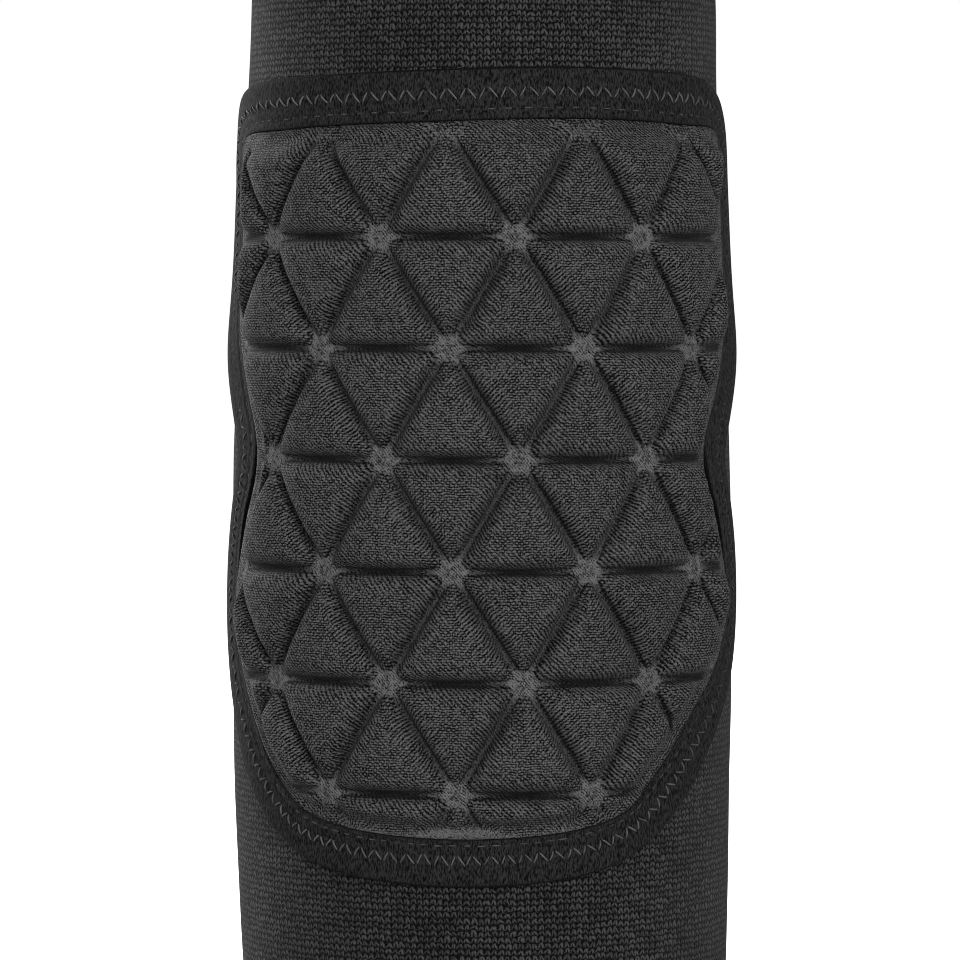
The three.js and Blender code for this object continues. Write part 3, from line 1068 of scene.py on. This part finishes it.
def thread_finish():
    thread = Finish(bpy.data.materials.new("sewing_thread"))
    place = thread.node("TexCoord", {}, {}, "Object")
    ply = thread.noise(place, scale=3500, detail=2.0)
    # Each stitch's lightness: the thread's own grey with a painted highlight
    shine = thread.node("Attribute", {"attribute_name": "shine"}, {}, "Fac")
    return thread.surface(
        Base_Color=thread.mix(shine * (0.6 + 0.8 * ply), grey(THREAD_DARK), grey(THREAD_LIGHT)),
        Roughness=0.7,
        Specular_IOR_Level=0.2,
        Normal=thread.bump(ply, distance=0.0001, strength=0.4),
    )


sewing_thread = thread_finish()

# %% Thread tubes
THREAD_SIDES = 6
THREAD_RINGS = 7
THREAD_SINK = 0.6
THREAD_END = 0.55
ARCH_POWER = 0.7
SIDE_FADE = 0.85
SIDE_FADE_RANGE = (38, 56)


def unit(vectors):
    return vectors / np.linalg.norm(vectors, axis=-1)[..., None]


def thread_faces(count):
    """Faces of closed tubes, one after another."""
    tube_faces, _, _ = grid_faces(THREAD_RINGS, THREAD_SIDES, False, True)
    first_ring = list(range(THREAD_SIDES))
    last_ring = [(THREAD_RINGS - 1) * THREAD_SIDES + k for k in first_ring[::-1]]
    one = [*(face[::-1] for face in tube_faces.tolist()), first_ring, last_ring]
    size = THREAD_RINGS * THREAD_SIDES
    return [[k * size + n for n in face] for k in range(count) for face in one]


def threads(name, starts, ends, shine, radius, arch):
    """Joined tubes from starts to ends: rows of length along the strip and reach out from its inner edge."""
    t = np.linspace(0, 1, THREAD_RINGS)
    bow = np.sin(math.pi * t)
    along = starts[:, :1] + (ends[:, :1] - starts[:, :1]) * t
    draw = FOOT_DRAW * nearing_foot(along)
    reach = starts[:, 1:] + (ends[:, 1:] - starts[:, 1:]) * t - draw
    flat = strip_place(along, reach)
    lift = strip_lift(reach, draw) + arch * bow ** ARCH_POWER - THREAD_SINK * radius
    centre = on_sleeve(flat[..., 0], flat[..., 1], lift)
    ahead = unit(np.gradient(centre, axis=1))
    side = unit(np.cross(ahead, unit(centre * np.array([1, 1, 0]))))
    up = np.cross(side, ahead)
    swing = TURN * np.arange(THREAD_SIDES) / THREAD_SIDES
    thick = radius * (THREAD_END + (1 - THREAD_END) * bow ** 0.5)[None, :, None, None]
    around = np.cos(swing)[:, None] * side[:, :, None] + np.sin(swing)[:, None] * up[:, :, None]
    points = centre[:, :, None] + thick * around
    # The stitches darken towards the tube's sides
    side_fade = 1 - SIDE_FADE * smoothstep(*SIDE_FADE_RANGE, np.abs(flat[:, 0, 0]))
    fields = {"shine": np.repeat(shine * side_fade, THREAD_RINGS * THREAD_SIDES)}
    piece = make_piece(name, points.reshape(-1, 3), thread_faces(len(starts)), sewing_thread, fields=fields)
    return piece


print("a thread has", len(thread_faces(1)), "faces")

# %% Stitch rows
SEED = 11
FOOT_PITCH = 0.84
ZIGZAG_PITCH = 3.6
ZIGZAG_RADIUS = 0.16
ZIGZAG_ARCH = 0.2
ZIGZAG_JITTER = (-0.06, 0.06)
FALLING_SHARE = (0.40, 0.50)
RISING_SHARE = (0.24, 0.32)
OUTER_JITTER = (-0.15, 0.1)
INNER_JITTER = (-0.1, 0.25)
# Lightness of each stitch, the thread's grey with a painted highlight: falling and rising stitches, then run
# stitches
FALLING_SHINE = (0.45, 0.85)
RISING_SHINE = (0.4, 0.75)
RUN_PITCH = 3.1
RUN_RADIUS = 0.14
RUN_ARCH = 0.1
RUN_DASH = 1.6
RUN_JITTER = (-0.2, 0.2)
LINE_JITTER = (-0.1, 0.1)
DASH_SHARE = (0.7, 1.1)
RUN_SHINE = (0.08, 0.45)


def stitch_starts(pitch):
    """Lengths along the strip where stitches start, closer together at the foot, and their pitches there."""
    along = np.linspace(0, strip_length, BORDER_COLUMNS + 1)
    density = 1 / (pitch * (1 + (FOOT_PITCH - 1) * nearing_foot(along)))
    passed = np.concatenate([[0], np.cumsum((density[1:] + density[:-1]) / 2 * np.diff(along))])
    count = round(passed[-1])
    bounds = np.interp(np.arange(count + 1) * passed[-1] / count, passed, along)
    return bounds[:-1], np.diff(bounds)


def zigzag():
    first, pitch = stitch_starts(ZIGZAG_PITCH)
    count = len(first)
    first = first + pitch * chance.uniform(*ZIGZAG_JITTER, count)
    falling = pitch * chance.uniform(*FALLING_SHARE, count)
    rising = pitch * chance.uniform(*RISING_SHARE, count)
    gap = (pitch - falling - rising) / 2
    high = ZIGZAG_OUTER + chance.uniform(*OUTER_JITTER, count)
    low = ZIGZAG_INNER + chance.uniform(*INNER_JITTER, count)
    foot = first + falling
    starts = np.concatenate([np.stack([first, high], axis=-1), np.stack([foot + gap, low], axis=-1)])
    ends = np.concatenate([np.stack([foot, low], axis=-1), np.stack([foot + gap + rising, high], axis=-1)])
    shine = np.concatenate([chance.uniform(*FALLING_SHINE, count), chance.uniform(*RISING_SHINE, count)])
    return threads("zigzag_stitches", starts, ends, shine, ZIGZAG_RADIUS, ZIGZAG_ARCH)


def run_stitches():
    first, _ = stitch_starts(RUN_PITCH)
    count = len(first)
    first = first + chance.uniform(*RUN_JITTER, count)
    line = RUN_LINE + chance.uniform(*LINE_JITTER, count)
    starts = np.stack([first, line], axis=-1)
    ends = np.stack([first + RUN_DASH * chance.uniform(*DASH_SHARE, count), line], axis=-1)
    return threads("run_stitches", starts, ends, chance.uniform(*RUN_SHINE, count), RUN_RADIUS, RUN_ARCH)


chance = np.random.default_rng(SEED)
zigzag_row = zigzag()
run_row = run_stitches()

# %% [markdown]
# ## Floor, light and picture
# The photograph has a white ground and a soft light from in front and a little from the upper right: the
# flanks that face it are pale, and those that face the lower left fall into shade. One lamp gives that, a
# larger and weaker one fills the front, and two lamps on the left and one on the right draw the tube's
# edges. The floor is pale, and it is kept from throwing light back up, which would wash out the shade under
# the cells. It also glows, dimly next to the tube and fully white further out.

# %% Light and floor
LAMPS = (
    {"name": "key", "place": (0.3, -1.25, 0.22), "size": 0.7, "power": 10},
    {"name": "front", "place": (0.0, -1.3, 0.15), "size": 1.0, "power": 4.8},
    {"name": "left", "place": (-0.85, 0.85, 0.3), "size": 0.8, "power": 23},
    {"name": "left_side", "place": (-1.1, 0.1, 0.3), "size": 0.8, "power": 2.2},
    {"name": "right", "place": (0.9, 0.7, 0.25), "size": 0.8, "power": 2.4},
)
WHITE = (1, 1, 1, 1)
SKY_ABOVE = 0.17
SKY_BELOW = 0.08
SKY_RANGE = 0.6
FLOOR_SIZE = 8.0
FLOOR_DROP = 0.0005
FLOOR_DARK = 0.90
FLOOR_LIGHT = 0.93
FLOOR_GLOW_NEAR = 0.4
FLOOR_GLOW_RANGE = (0.15, 0.5)
PIXEL_SPREAD = 1.0


def lamp(name, place, size, power):
    data = bpy.data.lights.new(name, "AREA")
    data.shape = "DISK"
    data.size = size
    data.energy = power
    light = bpy.data.objects.new(name, data)
    bpy.context.scene.collection.objects.link(light)
    light.location = place
    light.rotation_euler = (-Vector(place)).to_track_quat("-Z", "Y").to_euler()


def sky():
    """White to the eye, and a dim gradient for the light that falls on the object."""
    world = bpy.data.worlds.new("studio")
    bpy.context.scene.world = world
    air = Finish(world)
    place = air.node("TexCoord", {}, {}, "Generated")
    height = air.node("SeparateXYZ", {}, {"Vector": place}, "Z")
    limits = {"From Min": -SKY_RANGE, "From Max": SKY_RANGE, "To Min": SKY_BELOW, "To Max": SKY_ABOVE}
    level = air.node("MapRange", {}, {"Value": height, **limits})
    dim = air.node("Background", {}, {"Color": WHITE, "Strength": level})
    white = air.node("Background", {}, {"Color": WHITE})
    seen = air.node("LightPath", {}, {}, "Is Camera Ray")
    either = air.node("MixShader", {}, {"Fac": seen, 1: dim, 2: white})
    air.node("OutputWorld", {}, {"Surface": either})


def floor():
    half = FLOOR_SIZE / 2
    level = cad_low.z - FLOOR_DROP
    mesh = bpy.data.meshes.new("floor")
    corners = [(-half, -half, level), (half, -half, level), (half, half, level), (-half, half, level)]
    mesh.from_pydata(corners, [], [(0, 1, 2, 3)])
    pale = Finish(bpy.data.materials.new("pale_floor"))
    place = pale.node("TexCoord", {}, {}, "Object")
    mottle = pale.noise(place, scale=3.0)
    reach = pale.node("VectorMath", {"operation": "LENGTH"}, {0: place}, "Value")
    # The pale floor also glows: dimly next to the tube, fully white further out
    mesh.materials.append(pale.surface(
        Base_Color=pale.mix(mottle, grey(FLOOR_DARK), grey(FLOOR_LIGHT)),
        Roughness=0.9,
        Emission_Color=pale.mix(reach.step(*FLOOR_GLOW_RANGE), grey(FLOOR_GLOW_NEAR), grey(1)),
        Emission_Strength=1.0,
    ))
    ground = bpy.data.objects.new("floor", mesh)
    bpy.context.scene.collection.objects.link(ground)
    ground.visible_diffuse = False


for row in LAMPS:
    lamp(**row)
sky()
floor()
bpy.context.scene.view_settings.view_transform = "Standard"
bpy.context.scene.cycles.filter_width = PIXEL_SPREAD
print(len(LAMPS), "lamps over a floor at", round(cad_low.z, 4))
